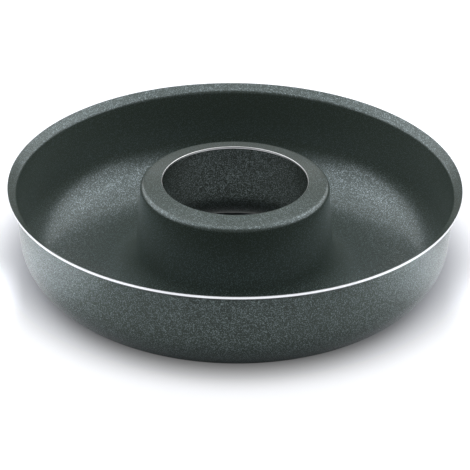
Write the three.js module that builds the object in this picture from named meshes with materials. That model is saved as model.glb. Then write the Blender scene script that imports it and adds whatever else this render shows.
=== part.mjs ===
// Savarin mould: a ring-shaped cake mould pressed from one disc of aluminium sheet.
// The disc is coated on both faces before it is pressed, each face with a primer and a top coat.
// The rim and the chimney's hole are trimmed afterwards, so the bare sheet shows at both cut edges.
// Millimetres, +Z up. The origin is the centre of the foot, on the surface that the mould stands on.

import * as THREE from 'three';

// Overall sizes of the finished mould, coats included.
const RIM_DIAMETER = 240;
const HEIGHT = 56.8;
const CHIMNEY_HEIGHT = 56.8;
const HOLE_DIAMETER = 77.2;

// The sheet and the dry films on each of its faces.
const SHEET_THICKNESS = 1.2;
const PRIMER_FILM = 0.015;
const TOP_COAT_FILM = 0.025;
const BOND_CLEARANCE = 0.005;

// The pressed form. Radii are those of the sheet's trough-side face.
const LIP_WIDTH = 4.7;
const LIP_SLOPE_DEG = 36;
const LIP_BEND_RADIUS = 3;
const WALL_DRAFT_DEG = 5;
const HEEL_RADIUS = 25.8;
const BASE_SLOPE_DEG = 24;
const FOOT_CORNER_INSET = 33.4;
const FOOT_BEND_SHARE = 0.85;
const ROOT_RADIUS = 20;
const CHIMNEY_DRAFT_DEG = 4.2;
const SHOULDER_RADIUS = 3;
const SHOULDER_CORNER_DIAMETER = 100.2;
const RING_SLOPE_DEG = 11;

// Facets: round the axis, and along each bend of the profile from the rim to the hole.
const FACETS_ROUND = 40;
const LIP_BEND_STEPS = 2;
const HEEL_STEPS = 3;
const FOOT_STEPS = 2;
const ROOT_STEPS = 3;
const SHOULDER_STEPS = 2;

const radians = THREE.MathUtils.degToRad;

// Depths are measured from the sheet's trough-side face, positive towards the trough.
const INSIDE_PRIMER = { low: BOND_CLEARANCE, high: BOND_CLEARANCE + PRIMER_FILM };
const INSIDE_TOP = layerAbove(INSIDE_PRIMER.high, TOP_COAT_FILM);
const SHEET = { low: -SHEET_THICKNESS, high: 0 };
const OUTSIDE_PRIMER = layerBelow(SHEET.low, PRIMER_FILM);
const OUTSIDE_TOP = layerBelow(OUTSIDE_PRIMER.low, TOP_COAT_FILM);

function layerAbove(surface, thickness) {
  const low = surface + BOND_CLEARANCE;
  return { low, high: low + thickness };
}

function layerBelow(surface, thickness) {
  const high = surface - BOND_CLEARANCE;
  return { low: high - thickness, high };
}

// A straight run of the profile: a point on it, and its direction of travel from the rim to the hole.
function run(radius, height, directionR, directionZ) {
  return {
    point: new THREE.Vector2(radius, height),
    direction: new THREE.Vector2(directionR, directionZ).normalize(),
  };
}

// The same run moved sideways, to the trough side where the depth is positive.
function offsetRun(line, depth) {
  const normal = new THREE.Vector2(line.direction.y, -line.direction.x);
  return { point: line.point.clone().addScaledVector(normal, depth), direction: line.direction };
}

// Where two runs would meet if the bend between them were sharp.
function corner(first, second) {
  const between = second.point.clone().sub(first.point);
  const along = between.cross(second.direction) / first.direction.cross(second.direction);
  return first.point.clone().addScaledVector(first.direction, along);
}

// The angle from one run to the next, positive to the left of travel.
function turnBetween(first, second) {
  return Math.asin(first.direction.cross(second.direction));
}

// How far from the sharp corner an arc of a given radius touches the runs on both sides of it.
function tangentLength(first, second, radius) {
  return radius * Math.tan(Math.abs(turnBetween(first, second)) / 2);
}

// Points of the arc that rounds the corner between two runs, both tangent points included.
function bend(first, second, radius, steps) {
  const turn = turnBetween(first, second);
  const side = Math.sign(turn);
  const tangent = tangentLength(first, second, radius);
  const start = corner(first, second).addScaledVector(first.direction, -tangent);
  const toCentre = new THREE.Vector2(-first.direction.y, first.direction.x).multiplyScalar(side * radius);
  const centre = start.clone().add(toCentre);
  const points = [];
  for (let step = 0; step <= steps; step += 1) {
    points.push(start.clone().rotateAround(centre, turn * step / steps));
  }
  return points;
}

// The six straight runs of the sheet's trough-side face.
const lipSlope = radians(LIP_SLOPE_DEG);
const wallDraft = radians(WALL_DRAFT_DEG);
const baseSlope = radians(BASE_SLOPE_DEG);
const chimneyDraft = radians(CHIMNEY_DRAFT_DEG);
const ringSlope = radians(RING_SLOPE_DEG);
const rimRadius = RIM_DIAMETER / 2;
const holeRadius = HOLE_DIAMETER / 2;
const rimZ = HEIGHT - INSIDE_TOP.high / Math.cos(lipSlope);
const wallTopRadius = rimRadius - LIP_WIDTH;
const wallTopZ = rimZ - LIP_WIDTH * Math.tan(lipSlope);
const footCornerRadius = rimRadius - FOOT_CORNER_INSET;
const floorZ = -OUTSIDE_TOP.low;
const ringZ = CHIMNEY_HEIGHT - INSIDE_TOP.high / Math.cos(ringSlope);
const shoulderRadius = SHOULDER_CORNER_DIAMETER / 2;
const shoulderZ = ringZ - (shoulderRadius - holeRadius) * Math.tan(ringSlope);

const lip = run(rimRadius, rimZ, -Math.cos(lipSlope), -Math.sin(lipSlope));
const wall = run(wallTopRadius, wallTopZ, -Math.sin(wallDraft), -Math.cos(wallDraft));
const base = run(footCornerRadius, floorZ, -Math.cos(baseSlope), -Math.sin(baseSlope));
const floor = run(footCornerRadius, floorZ, -1, 0);
const chimney = run(shoulderRadius, shoulderZ, -Math.sin(chimneyDraft), Math.cos(chimneyDraft));
const ring = run(holeRadius, ringZ, -Math.cos(ringSlope), Math.sin(ringSlope));
const rimTrim = run(rimRadius, 0, 0, 1);
const holeTrim = run(holeRadius, 0, 0, 1);

// The base dips to the foot in one long bend, which takes up most of the shorter run beside it.
// What is left of the floor is the flat ring that the mould stands on.
const baseRoom = corner(wall, base).distanceTo(floor.point) - tangentLength(wall, base, HEEL_RADIUS);
const floorRoom = corner(floor, chimney).distanceTo(floor.point) - tangentLength(floor, chimney, ROOT_RADIUS);
const footRadius = FOOT_BEND_SHARE * Math.min(baseRoom, floorRoom) / Math.tan(baseSlope / 2);

// One face of a layer, as profile points from the rim's trim to the hole's trim.
// A bend that turns away from the trough grows with depth, and one that turns round it shrinks.
function face(depth) {
  const [lipAt, wallAt, baseAt, floorAt, chimneyAt, ringAt] = [lip, wall, base, floor, chimney, ring]
    .map((line) => offsetRun(line, depth));
  return [
    corner(lipAt, rimTrim),
    ...bend(lipAt, wallAt, LIP_BEND_RADIUS + depth, LIP_BEND_STEPS),
    ...bend(wallAt, baseAt, HEEL_RADIUS - depth, HEEL_STEPS),
    ...bend(baseAt, floorAt, footRadius - depth, FOOT_STEPS),
    ...bend(floorAt, chimneyAt, ROOT_RADIUS - depth, ROOT_STEPS),
    ...bend(chimneyAt, ringAt, SHOULDER_RADIUS + depth, SHOULDER_STEPS),
    corner(ringAt, holeTrim),
  ];
}

// A layer turned about the axis. Its section runs from the hole along the lower face to the rim,
// across the cut there and back along the upper face.
function layer(name, depths, material) {
  const profile = [...face(depths.low).reverse(), ...face(depths.high)];
  profile.push(profile[0].clone());
  const geometry = new THREE.LatheGeometry(profile, FACETS_ROUND);
  geometry.rotateX(Math.PI / 2);
  const mesh = new THREE.Mesh(geometry, material);
  mesh.name = name;
  return mesh;
}

const bareAluminium = new THREE.MeshStandardMaterial({ color: 0xd3d6d8, roughness: 0.32, metalness: 1.0 });
const primer = new THREE.MeshStandardMaterial({ color: 0x2a2d2c, roughness: 0.7, metalness: 0.0 });
const nonStick = new THREE.MeshStandardMaterial({ color: 0x454b4b, roughness: 0.45, metalness: 0.1 });

const savarinMould = new THREE.Group();
savarinMould.add(
  layer('aluminium_body', SHEET, bareAluminium),
  layer('inside_primer_coat', INSIDE_PRIMER, primer),
  layer('inside_top_coat', INSIDE_TOP, nonStick),
  layer('outside_primer_coat', OUTSIDE_PRIMER, primer),
  layer('outside_top_coat', OUTSIDE_TOP, nonStick),
);

export default savarinMould;
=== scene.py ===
import math

import bpy
import numpy as np
from mathutils import Matrix, Vector


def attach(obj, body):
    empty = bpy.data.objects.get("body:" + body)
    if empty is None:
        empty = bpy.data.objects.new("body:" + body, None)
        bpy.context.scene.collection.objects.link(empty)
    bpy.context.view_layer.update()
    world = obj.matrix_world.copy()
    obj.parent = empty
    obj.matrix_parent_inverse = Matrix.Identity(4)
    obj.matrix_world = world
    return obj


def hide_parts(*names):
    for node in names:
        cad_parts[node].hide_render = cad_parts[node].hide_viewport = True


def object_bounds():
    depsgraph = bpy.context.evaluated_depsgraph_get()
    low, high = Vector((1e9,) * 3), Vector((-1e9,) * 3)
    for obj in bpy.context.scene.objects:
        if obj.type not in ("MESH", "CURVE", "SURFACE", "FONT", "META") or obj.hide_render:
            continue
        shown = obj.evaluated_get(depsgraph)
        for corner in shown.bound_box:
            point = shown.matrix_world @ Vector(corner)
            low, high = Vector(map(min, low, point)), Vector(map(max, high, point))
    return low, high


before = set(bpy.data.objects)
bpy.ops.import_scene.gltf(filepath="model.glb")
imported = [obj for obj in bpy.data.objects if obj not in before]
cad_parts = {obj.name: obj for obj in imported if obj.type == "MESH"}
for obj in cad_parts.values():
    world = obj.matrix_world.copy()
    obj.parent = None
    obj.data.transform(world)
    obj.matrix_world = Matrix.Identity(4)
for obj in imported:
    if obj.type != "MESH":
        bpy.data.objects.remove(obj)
cad_low, cad_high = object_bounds()


# Aluminium body
# One disc of 1.2 mm aluminium sheet, pressed into a trough round a chimney that is open at the top.
# Its rim and its hole are trimmed after pressing, so both cut edges are bare, with fine tool lines on them.

MM = 0.001
RIM_RADIUS = cad_high.x
HEIGHT = cad_high.z
HOLE_RADIUS = 38.6 * MM
SHEET_THICKNESS = 1.2 * MM
COAT_STACK = 0.05 * MM
LIP_WIDTH = 4.7 * MM
LIP_SLOPE = math.radians(36)
WALL_DRAFT = math.radians(5)
CHIMNEY_DRAFT = math.radians(4.2)
RING_SLOPE = math.radians(11)
SHOULDER_CORNER_RADIUS = 50.1 * MM
LIP_BEND_RADIUS = 3 * MM
HEEL_RADIUS = 25.8 * MM
BASE_SLOPE = math.radians(24)
FOOT_CORNER_RADIUS = RIM_RADIUS - 33.4 * MM
FOOT_BEND_RADIUS = 49.2 * MM
ROOT_RADIUS = 20 * MM
SHOULDER_RADIUS = 3 * MM
EDGE_BREAK = 0.12 * MM
HOLE_BREAK = 0.3 * MM
STEPS_ROUND = 256
STRAIGHT_STEPS = 7
BEND_STEPS = (10, 20, 12, 24, 14)
EDGE_STEPS = 15
SHARP_EDGE = math.radians(50)


def heading(angle):
    """The unit vector of an angle as a complex number: radius is the real part, height the imaginary one."""
    return np.exp(1j * np.asarray(angle))


# The sheet's trough-side face as straight runs from the rim to the hole.
# Each run is a point on it and its angle of travel, and a bend rounds the corner to the next one.
rim_point = RIM_RADIUS + 1j * (HEIGHT - COAT_STACK / math.cos(LIP_SLOPE))
wall_point = rim_point - LIP_WIDTH * (1 + 1j * math.tan(LIP_SLOPE))
foot_point = FOOT_CORNER_RADIUS + 1j * (SHEET_THICKNESS + COAT_STACK)
ring_point = HOLE_RADIUS + 1j * (HEIGHT - COAT_STACK / math.cos(RING_SLOPE))
shoulder_point = ring_point + (SHOULDER_CORNER_RADIUS - HOLE_RADIUS) * (1 - 1j * math.tan(RING_SLOPE))
RUNS = [
    (rim_point, math.pi + LIP_SLOPE),
    (wall_point, 1.5 * math.pi - WALL_DRAFT),
    (foot_point, math.pi + BASE_SLOPE),
    (foot_point, math.pi),
    (shoulder_point, 0.5 * math.pi + CHIMNEY_DRAFT),
    (ring_point, math.pi - RING_SLOPE),
]
BEND_RADII = (LIP_BEND_RADIUS, HEEL_RADIUS, FOOT_BEND_RADIUS, ROOT_RADIUS, SHOULDER_RADIUS)


def bend_centre(first, second, radius):
    """The centre of the arc that is tangent to two runs: their crossing after each is moved sideways by the
    arc's radius, to the side that the profile turns to."""
    side = 1j * radius * np.sign(second[1] - first[1])
    start, way = first[0] + side * heading(first[1]), heading(first[1])
    end, other = second[0] + side * heading(second[1]), heading(second[1])
    return start + way * (np.conj(other) * (end - start)).imag / (np.conj(other) * way).imag


def face(depth, hole_break):
    """One face of a layer, from the rim to the hole, as complex profile points. A bend's points are its
    centre plus the normal times (side * radius + depth). The two ends slide along their runs to the
    trimmed radius, less the broken edge, and straight stretches are filled with even steps."""
    arcs = []
    for first, second, radius, steps in zip(RUNS[:-1], RUNS[1:], BEND_RADII, BEND_STEPS):
        normal = -1j * heading(np.linspace(first[1], second[1], steps + 1))
        reach = np.sign(second[1] - first[1]) * radius + depth
        arcs.append(bend_centre(first, second, radius) + normal * reach)
    ends = []
    for tangent, run, trim in (
        (arcs[0][0], RUNS[0], RIM_RADIUS - EDGE_BREAK),
        (arcs[-1][-1], RUNS[-1], HOLE_RADIUS + hole_break),
    ):
        way = heading(run[1])
        ends.append(tangent + way * (trim - tangent.real) / way.real)
    points = [ends[0]]
    for arc in arcs + [np.array([ends[1]])]:
        straight = np.linspace(points[-1], arc[0], STRAIGHT_STEPS + 1)[1:-1]
        points += [*straight, *arc]
    return np.array(points)


def cut_edge(start, end, trim):
    """Points across a trimmed edge from one face to the other. With u from -1 to 1, a point is the break of
    the nearer corner times u^4 away from the trimmed radius: the cut is flat, and its corners are round."""
    u = np.linspace(-1, 1, EDGE_STEPS)[1:-1]
    corner = np.where(u < 0, start.real, end.real) - trim
    height = start.imag + (end.imag - start.imag) * (1 + u) / 2
    return trim + corner * u ** 4 + 1j * height


def turned_piece(name, loop):
    """A closed loop carried round the axis: a point (radius, height) turns through even angles a as
    (radius cos a, radius sin a, height), and each four neighbours on that grid are a face."""
    angle = np.linspace(0, 2 * np.pi, STEPS_ROUND, endpoint=False)[:, None]
    height = np.broadcast_to(loop.imag, (STEPS_ROUND, len(loop)))
    points = np.stack([loop.real * np.cos(angle), loop.real * np.sin(angle), height], axis=-1)
    index = np.arange(height.size).reshape(height.shape)
    beside = np.roll(index, -1, axis=0)
    faces = np.stack([index, beside, np.roll(beside, -1, axis=1), np.roll(index, -1, axis=1)], axis=-1)
    mesh = bpy.data.meshes.new(name)
    mesh.from_pydata(points.reshape(-1, 3).tolist(), [], faces.reshape(-1, 4).tolist())
    mesh.shade_smooth()
    mesh.set_sharp_from_angle(angle=SHARP_EDGE)
    piece = bpy.data.objects.new(name, mesh)
    bpy.context.scene.collection.objects.link(piece)
    return piece


class Socket:
    """An output of a shader node, or a whole node tree to start from. Arithmetic on it adds Math nodes."""

    def __init__(self, tree, output=None):
        self.tree = tree
        self.output = output

    def node(self, kind, settings=None, sockets=None, result=None):
        """Adds a node: its settings first, then values or links for its sockets. It gives back the named
        output, or else the first one."""
        made = self.tree.nodes.new(kind)
        for key, value in (settings or {}).items():
            setattr(made, key, value)
        for key, value in (sockets or {}).items():
            target = next(s for s in made.inputs if key in (s.identifier, s.name))
            if isinstance(value, Socket):
                self.tree.links.new(value.output, target)
            else:
                target.default_value = value
        outputs = {name: s for s in reversed(made.outputs) for name in (s.name, s.identifier)}
        output = outputs[result] if result else next(iter(made.outputs), None)
        return Socket(self.tree, output)

    def math(self, operation, first, second):
        """Adds a Math node that works on two values."""
        sockets = {"Value": first, "Value_001": second}
        return self.node("ShaderNodeMath", {"operation": operation}, sockets)

    def __add__(self, other):
        return self.math("ADD", self, other)

    def __mul__(self, other):
        return self.math("MULTIPLY", self, other)

    def __lt__(self, other):
        return self.math("LESS_THAN", self, other)

    def __radd__(self, other):
        return self.math("ADD", other, self)

    def __rmul__(self, other):
        return self.math("MULTIPLY", other, self)


def new_finish(name):
    """An empty node material and the tree to write its shader in."""
    material = bpy.data.materials.new(name)
    material.use_nodes = True
    material.node_tree.nodes.clear()
    return material, Socket(material.node_tree)


def surface(tree, shader):
    """Ends a finish: its shader becomes the surface of the material."""
    tree.node("ShaderNodeOutputMaterial", sockets={"Surface": shader})


ALUMINIUM = (0.86, 0.87, 0.88, 1)
ALUMINIUM_WORN = (0.74, 0.75, 0.76, 1)
TOOL_LINE = 0.09 * MM
TOOL_LINE_DEPTH = 0.002 * MM
TOOL_LINE_TONE = 0.5
PATCHES_PER_METRE = 60
PATCH_TONE = 0.4
CUT_ROUGHNESS = 0.26
CUT_ROUGHNESS_CHANGE = 0.16


def trimmed_aluminium():
    """Bright bare metal. Tool lines run round the axis, so they are noise of radius and height alone."""
    material, tree = new_finish("trimmed_aluminium")
    place = tree.node("ShaderNodeTexCoord", result="Object")
    parts = {k: tree.node("ShaderNodeSeparateXYZ", sockets={"Vector": place}, result=k) for k in "XYZ"}
    radius = tree.math("POWER", parts["X"] * parts["X"] + parts["Y"] * parts["Y"], 0.5)
    around = tree.node("ShaderNodeCombineXYZ", sockets={"X": radius, "Z": parts["Z"]})
    grain = {"Vector": around, "Scale": 1 / TOOL_LINE, "Detail": 3.0}
    lines = tree.node("ShaderNodeTexNoise", sockets=grain)
    grain = {"Vector": place, "Scale": PATCHES_PER_METRE, "Detail": 2.0}
    patches = tree.node("ShaderNodeTexNoise", sockets=grain)
    wear = lines * TOOL_LINE_TONE + patches * PATCH_TONE
    tone = {"Factor_Float": wear, "A_Color": ALUMINIUM, "B_Color": ALUMINIUM_WORN}
    colour = tree.node("ShaderNodeMix", {"data_type": "RGBA"}, tone, "Result_Color")
    relief = tree.node("ShaderNodeBump", sockets={"Height": lines, "Distance": TOOL_LINE_DEPTH})
    shader = tree.node("ShaderNodeBsdfPrincipled", sockets={
        "Base Color": colour,
        "Metallic": 1.0,
        "Roughness": CUT_ROUGHNESS + lines * CUT_ROUGHNESS_CHANGE,
        "Normal": relief,
    })
    surface(tree, shader)
    return material


low_face, high_face = face(-SHEET_THICKNESS, EDGE_BREAK), face(0, HOLE_BREAK)
rim_cut = cut_edge(low_face[0], high_face[0], RIM_RADIUS)
hole_cut = cut_edge(high_face[-1], low_face[-1], HOLE_RADIUS)
body = turned_piece("pressed_body", np.concatenate([low_face[::-1], rim_cut, high_face, hole_cut]))
body.data.materials.append(trimmed_aluminium())
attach(body, "root")
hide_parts("aluminium_body")


# Primer films
# A thin dark primer on each face of the sheet, rolled on and dried before the top coat.
# It holds the non-stick film to the metal, and it shows only as a hair line at the trimmed edges.

FILM_BREAKS = {"inside": HOLE_BREAK, "outside": EDGE_BREAK}
PRIMER_LOW = 0.005 * MM
PRIMER_HIGH = 0.020 * MM
PRIMER_DEPTHS = {
    "inside": (PRIMER_LOW, PRIMER_HIGH),
    "outside": (-SHEET_THICKNESS - PRIMER_HIGH, -SHEET_THICKNESS - PRIMER_LOW),
}
PRIMER_DARK = (0.018, 0.021, 0.020, 1)
PRIMER_PALE = (0.034, 0.038, 0.037, 1)
MOTTLES_PER_METRE = 700
PRIMER_ROUGHNESS = 0.6
PRIMER_ROUGHNESS_CHANGE = 0.2


def matt_primer():
    """Matt dark film, faintly mottled by noise in its colour and its roughness."""
    material, tree = new_finish("matt_primer")
    place = tree.node("ShaderNodeTexCoord", result="Object")
    grain = {"Vector": place, "Scale": MOTTLES_PER_METRE, "Detail": 3.0}
    mottle = tree.node("ShaderNodeTexNoise", sockets=grain)
    tone = {"Factor_Float": mottle, "A_Color": PRIMER_DARK, "B_Color": PRIMER_PALE}
    colour = tree.node("ShaderNodeMix", {"data_type": "RGBA"}, tone, "Result_Color")
    shader = tree.node("ShaderNodeBsdfPrincipled", sockets={
        "Base Color": colour,
        "Roughness": PRIMER_ROUGHNESS + mottle * PRIMER_ROUGHNESS_CHANGE,
    })
    surface(tree, shader)
    return material


def film_section(depths, hole_break):
    """The closed loop round a film's section: its lower face out to the rim, and its upper face back."""
    low, high = face(depths[0], hole_break), face(depths[1], hole_break)
    return np.concatenate([low[::-1], high])


primer_finish = matt_primer()
for side, depths in PRIMER_DEPTHS.items():
    primer = turned_piece(f"{side}_primer", film_section(depths, FILM_BREAKS[side]))
    primer.data.materials.append(primer_finish)
    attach(primer, "root")
    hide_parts(f"{side}_primer_coat")


# Non-stick top coats
# A dark green-grey film over each primer, with fine light flecks in it and the pebbled skin of a baked film.
# The trimmed edges are cut later and stay bare. The inside film is the brighter and glossier one.

COAT_GROUND = (0.040, 0.053, 0.042, 1)
COAT_CLOUD = (0.045, 0.059, 0.047, 1)
CLOUDS_PER_METRE = 45
PEBBLE = 0.45 * MM
COAT_ROUGHNESS = 0.27
COAT_ROUGHNESS_CHANGE = 0.10
SHEEN_TINT = (0.84, 1.0, 1.08, 1)
VARNISH_ROUGHNESS = 0.18
VARNISH_IOR = 1.22
TOP_COAT_LOW = 0.025 * MM
TOP_COATS = {
    "inside": {
        "depths": (TOP_COAT_LOW, COAT_STACK),
        "pebble_height": 0.06 * MM,
        "fleck": (0.27, 0.325, 0.345, 1),
        "fleck_share": 0.15,
        "fleck_spacing": 0.28 * MM,
        "sheen": 0.66,
        "varnish": 1.0,
    },
    "outside": {
        "depths": (-SHEET_THICKNESS - COAT_STACK, -SHEET_THICKNESS - TOP_COAT_LOW),
        "pebble_height": 0.08 * MM,
        "fleck": (0.138, 0.172, 0.167, 1),
        "fleck_share": 0.22,
        "fleck_spacing": 0.30 * MM,
        "sheen": 0.1,
        "varnish": 0.7,
    },
}


def flecked_non_stick(name, coat):
    """Satin film with fine metal flecks. A cell of a Voronoi pattern is a fleck where its chance is under the
    share. The pebbled skin is noise as a bump, and slower noise clouds the ground between the flecks."""
    material, tree = new_finish(name)
    place = tree.node("ShaderNodeTexCoord", result="Object")
    grid = {"Vector": place, "Scale": 1 / coat["fleck_spacing"]}
    cells = tree.node("ShaderNodeTexVoronoi", sockets=grid, result="Color")
    chance = tree.node("ShaderNodeSeparateColor", sockets={"Color": cells}, result="Red")
    fleck = chance < coat["fleck_share"]
    grain = {"Vector": place, "Scale": CLOUDS_PER_METRE, "Detail": 3.0}
    cloud = tree.node("ShaderNodeTexNoise", sockets=grain)
    grain = {"Vector": place, "Scale": 1 / PEBBLE, "Detail": 2.0}
    pebble = tree.node("ShaderNodeTexNoise", sockets=grain)
    tone = {"Factor_Float": cloud, "A_Color": COAT_GROUND, "B_Color": COAT_CLOUD}
    ground = tree.node("ShaderNodeMix", {"data_type": "RGBA"}, tone, "Result_Color")
    tone = {"Factor_Float": fleck, "A_Color": ground, "B_Color": coat["fleck"]}
    colour = tree.node("ShaderNodeMix", {"data_type": "RGBA"}, tone, "Result_Color")
    relief = tree.node("ShaderNodeBump", sockets={"Height": pebble, "Distance": coat["pebble_height"]})
    shader = tree.node("ShaderNodeBsdfPrincipled", sockets={
        "Base Color": colour,
        "Metallic": fleck,
        "Roughness": COAT_ROUGHNESS + pebble * COAT_ROUGHNESS_CHANGE,
        "Specular IOR Level": coat["sheen"],
        "Specular Tint": SHEEN_TINT,
        "Coat Weight": coat["varnish"],
        "Coat Roughness": VARNISH_ROUGHNESS,
        "Coat IOR": VARNISH_IOR,
        "Normal": relief,
    })
    surface(tree, shader)
    return material


for side, coat in TOP_COATS.items():
    top_coat = turned_piece(f"{side}_non_stick", film_section(coat["depths"], FILM_BREAKS[side]))
    top_coat.data.materials.append(flecked_non_stick(f"{side}_film", coat))
    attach(top_coat, "root")
    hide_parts(f"{side}_top_coat")


# Floor
# A plain table that fills the view, lifted to white for the view and for reflections, but for a painted
# shadow close round the foot, where the board's own lit shadow shows. The painted shadow that the mould
# mirrors reaches further in front than the one in view, and a painted pool of light lies on the table under
# the chimney.

FLOOR_SIZE = 40.0
FLOOR_PALE = (0.505, 0.52, 0.57, 1)
FLOOR_LIFT = 0.70
BLACK = (0, 0, 0, 1)
WHITE = (1, 1, 1, 1)
# Painted shadow: the table's glow is held back inside these circles, so their radii paint how far the shadow
# round the foot reaches. The mirrored circle paints a shadow of its own for reflections, reaching further in
# front, and the bore oval paints a pool of light on the table under the chimney.
PAINTED_SHADOW_SEEN = {"squeeze": (1, 1, 1), "middle": (0, 0.026, 0), "from": 0.106, "to": 0.147}
PAINTED_SHADOW_MIRRORED = {"squeeze": (1, 1, 1), "middle": (0, -0.030, 0), "from": 0.070, "to": 0.145}
PAINTED_LIGHT_IN_BORE = {"squeeze": (0.5, 1, 1), "middle": (0, -0.004, 0), "from": 0.052, "to": 0.020}

half = FLOOR_SIZE / 2
floor_mesh = bpy.data.meshes.new("floor")
floor_corners = [(-half, -half, 0), (half, -half, 0), (half, half, 0), (-half, half, 0)]
floor_mesh.from_pydata(floor_corners, [], [(0, 1, 2, 3)])
floor = bpy.data.objects.new("floor", floor_mesh)
bpy.context.scene.collection.objects.link(floor)


def clear_of(tree, place, circle):
    """0 at the first radius of a circle on the table and 1 at the second, with a smooth rise between them.
    A squeeze of the coordinates makes it an oval."""
    scaled = {"Vector": place, "Vector_001": circle["squeeze"]}
    squeezed = tree.node("ShaderNodeVectorMath", {"operation": "MULTIPLY"}, scaled)
    ends = {"Vector": squeezed, "Vector_001": circle["middle"]}
    radius = tree.node("ShaderNodeVectorMath", {"operation": "DISTANCE"}, ends, "Value")
    rise = {"Value": radius, "From Min": circle["from"], "From Max": circle["to"]}
    return tree.node("ShaderNodeMapRange", {"interpolation_type": "SMOOTHSTEP"}, rise)


def white_table():
    """Matt pale board, with a glow for rays of the camera, and for those that are mirrored or let through. It
    rises outside a circle round the foot, which paints how far the shadow reaches, and inside an oval under
    the chimney, a painted pool of light, with painted shadow between. Inside the shadow the board's own lit
    shade shows, and mirrored rays see a painted shadow circle of their own."""
    material, tree = new_finish("white_table")
    place = tree.node("ShaderNodeTexCoord", result="Object")
    kinds = ("Camera", "Glossy", "Transmission")
    seen, glossy, through = (tree.node("ShaderNodeLightPath", result=f"Is {kind} Ray") for kind in kinds)
    mirrored = tree.math("MAXIMUM", glossy, through)
    # Painted light and shadow: the bore oval paints a pool of light under the chimney, and the two circles
    # paint the shadow round the foot, one for the view and one for reflections.
    painted_bore_light = clear_of(tree, place, PAINTED_LIGHT_IN_BORE)
    in_view = seen * (clear_of(tree, place, PAINTED_SHADOW_SEEN) + painted_bore_light)
    in_mirror = mirrored * (clear_of(tree, place, PAINTED_SHADOW_MIRRORED) + painted_bore_light)
    lift = (in_view + in_mirror) * FLOOR_LIFT
    tone = {"Factor_Float": lift, "A_Color": BLACK, "B_Color": WHITE}
    glow = tree.node("ShaderNodeMix", {"data_type": "RGBA"}, tone, "Result_Color")
    board = tree.node("ShaderNodeBsdfPrincipled", sockets={
        "Base Color": FLOOR_PALE,
        "Roughness": 1.0,
        "Specular IOR Level": 0.0,
        "Emission Color": glow,
        "Emission Strength": 1.0,
    })
    surface(tree, board)
    return material


floor_mesh.materials.append(white_table())


# Studio light
# Softboxes at three heights behind and beside the mould, one overhead, one high in front, and a weak fill.
# A pair of narrow boxes washes the table beside the mould, and the outer wall mirrors it.

FILL = 0.17
MOULD_MIDDLE = Vector((0, 0, 0.03))
LAMP_DISTANCE = 1.2
OVERHEAD = {"width": 0.8, "height": 0.7, "radiance": 0.88}
MIDDLE_BOXES = {
    "front_high": {"azimuth": 180, "elevation": 70, "width": 0.8, "radiance": 0.60},
    "behind_high": {"azimuth": 0, "elevation": 65, "width": 0.6, "radiance": 0.72},
    "behind_low": {"azimuth": 0, "elevation": 25, "width": 0.6, "radiance": 0.40},
}
BOX_HEIGHT = 0.4
DOME_WIDTH = 0.56
# A level of the dome is its elevation, and the radiance of its boxes by azimuth, alike on both sides.
DOME_LEVELS = {
    "dome_high": (58, {35: 0.9, 75: 0.85, 118: 1.15}),
    "dome_middle": (40, {42: 1.1, 70: 1.4, 98: 1.0, 126: 0.6}),
    "dome_low": (20, {42: 1.05, 70: 1.25, 98: 1.15}),
}
WASH_ASIDE = 0.19
WASH_ALONG = -0.125
WASH_ABOVE = 0.4
WASH_WIDTH = 0.10
WASH_HEIGHT = 0.23
WASH_SPREAD = 10
# The wash differs by side: -1 is left and 1 is right.
WASH_RADIANCE = {-1: 6.6, 1: 2.7}


def softbox(name, place, aim, width, height, radiance, spread=180):
    """A rectangular lamp that faces a point. Its power is four times its radiance times its area."""
    lamp = bpy.data.lights.new(name, "AREA")
    lamp.shape = "RECTANGLE"
    lamp.size = width
    lamp.size_y = height
    lamp.spread = math.radians(spread)
    lamp.energy = 4 * radiance * width * height
    box = bpy.data.objects.new(name, lamp)
    turn = (Vector(aim) - Vector(place)).to_track_quat("-Z", "Y").to_matrix().to_4x4()
    box.matrix_world = Matrix.Translation(place) @ turn
    bpy.context.scene.collection.objects.link(box)


def stand(azimuth, elevation):
    """A lamp's place on a sphere round the mould. Azimuth is in degrees from straight behind to the right."""
    side, rise = math.radians(azimuth), math.radians(elevation)
    level = Vector((math.sin(side), math.cos(side), 0)) * math.cos(rise)
    return MOULD_MIDDLE + LAMP_DISTANCE * (level + Vector((0, 0, math.sin(rise))))


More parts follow.
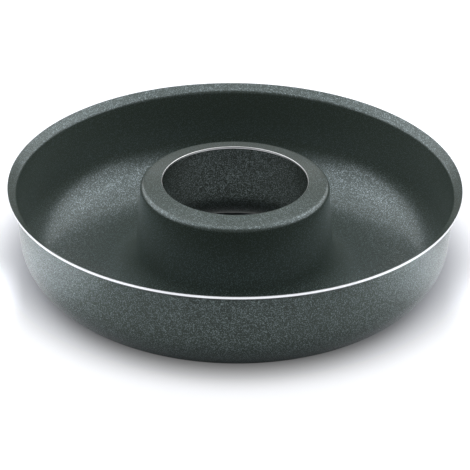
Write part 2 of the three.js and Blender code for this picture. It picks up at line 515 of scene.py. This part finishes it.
softbox("overhead", (0, 0, LAMP_DISTANCE), MOULD_MIDDLE, **OVERHEAD)
for name, box in MIDDLE_BOXES.items():
    place = stand(box["azimuth"], box["elevation"])
    softbox(name, place, MOULD_MIDDLE, box["width"], BOX_HEIGHT, box["radiance"])
for side, wash in WASH_RADIANCE.items():
    for name, (elevation, levels) in DOME_LEVELS.items():
        for azimuth, radiance in levels.items():
            place = stand(side * azimuth, elevation)
            softbox(name, place, MOULD_MIDDLE, DOME_WIDTH, BOX_HEIGHT, radiance)
    place, aim = ((side * WASH_ASIDE, WASH_ALONG, height) for height in (WASH_ABOVE, 0))
    softbox("table_wash", place, aim, WASH_WIDTH, WASH_HEIGHT, wash, WASH_SPREAD)

world = bpy.data.worlds.new("studio")
bpy.context.scene.world = world
world.use_nodes = True
world.node_tree.nodes.clear()
room = Socket(world.node_tree)
backdrop = room.node("ShaderNodeBackground", sockets={"Color": WHITE, "Strength": FILL})
room.node("ShaderNodeOutputWorld", sockets={"Surface": backdrop})


# Camera
# It stands in front of the mould and looks down at it, turned and rolled by fractions of a degree.

CAMERA_DISTANCE = 1.1
CAMERA_ELEVATION = math.radians(27.84)
AIM_DOWN = math.radians(29.368)
AIM_ASIDE = math.radians(-0.016)
ROLL = math.radians(0.626)
SENSOR_WIDTH = 36
FOCAL_PIXELS = 2078.6
IMAGE_PIXELS = 470

camera = bpy.data.objects.new("camera", bpy.data.cameras.new("camera"))
camera.data.sensor_width = SENSOR_WIDTH
camera.data.lens = FOCAL_PIXELS / IMAGE_PIXELS * SENSOR_WIDTH
camera.location = (
    0,
    -CAMERA_DISTANCE * math.cos(CAMERA_ELEVATION),
    HEIGHT + CAMERA_DISTANCE * math.sin(CAMERA_ELEVATION),
)
turned = Matrix.Rotation(AIM_ASIDE, 4, "Z") @ Matrix.Rotation(math.pi / 2 - AIM_DOWN, 4, "X")
camera.rotation_euler = (turned @ Matrix.Rotation(ROLL, 4, "Z")).to_euler()
bpy.context.scene.collection.objects.link(camera)
bpy.context.scene.camera = camera
bpy.context.scene.view_settings.view_transform = "Standard"
